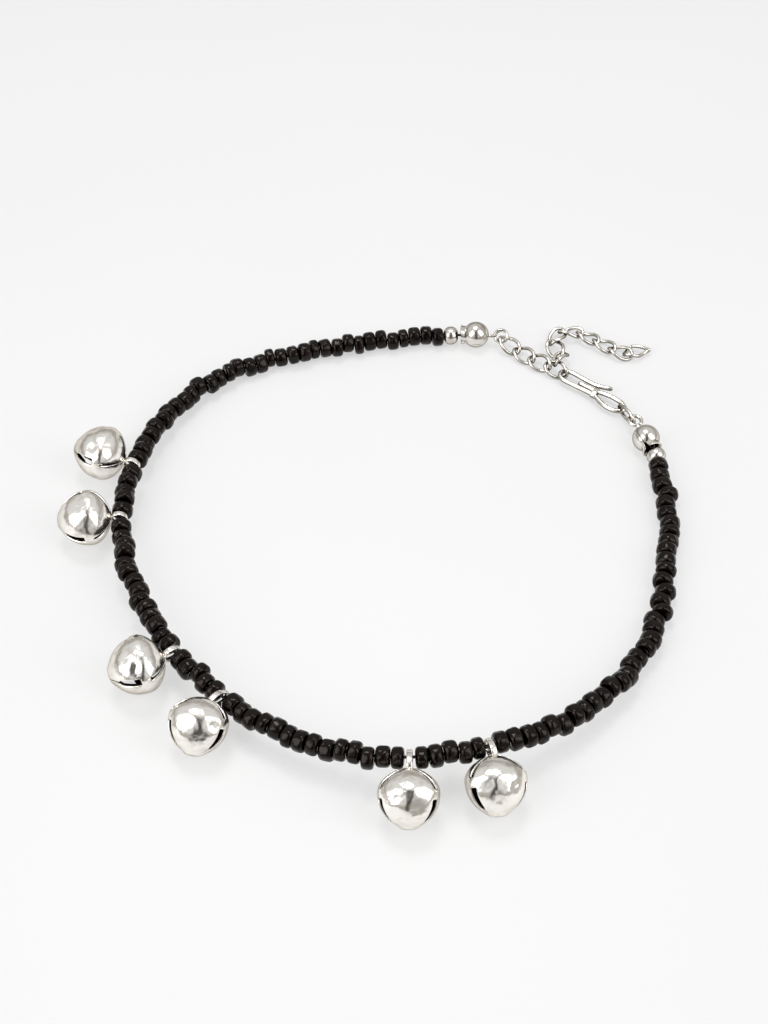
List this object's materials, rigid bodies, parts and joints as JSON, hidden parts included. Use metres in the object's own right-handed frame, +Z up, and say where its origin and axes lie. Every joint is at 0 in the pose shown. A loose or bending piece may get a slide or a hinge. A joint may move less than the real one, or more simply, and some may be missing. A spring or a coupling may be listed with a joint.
{
  "type": "beaded anklet",
  "caption": "Glass bead anklet with hollow jingle bells on rings, metal bead tips, an extension chain and a wire hook clasp, lying as a closed loop.",
  "frame": {"origin": "on the surface the anklet lies on, under the middle of its outer box", "axes": "+Z up from the surface, +Y away from the viewer towards the clasp side, +X to the right of the picture"},
  "size_m": [0.0936, 0.0967, 0.0083],
  "materials": {
    "black_glass": "opaque black pressed glass, glossy",
    "black_thread": "waxed black cord",
    "silver": "silver-plated metal, bright, slightly worn"
  },
  "bodies": {
    "root": {"seed_beads": "black_glass", "thread": "black_thread", "end_bead_1": "silver", "end_bead_2": "silver", "bead_tip_1": "silver", "bead_tip_2": "silver", "bell_1": "silver", "bell_2": "silver", "bell_3": "silver", "bell_4": "silver", "bell_5": "silver", "bell_6": "silver", "pellet_1": "silver", "pellet_2": "silver", "pellet_3": "silver", "pellet_4": "silver", "pellet_5": "silver", "pellet_6": "silver", "link_1": "silver", "link_2": "silver", "link_3": "silver", "link_4": "silver", "link_5": "silver", "link_6": "silver", "link_7": "silver", "link_8": "silver", "link_9": "silver", "link_10": "silver", "link_11": "silver", "link_12": "silver", "hook": "silver", "hook_link": "silver"}
  },
  "joints": []
}
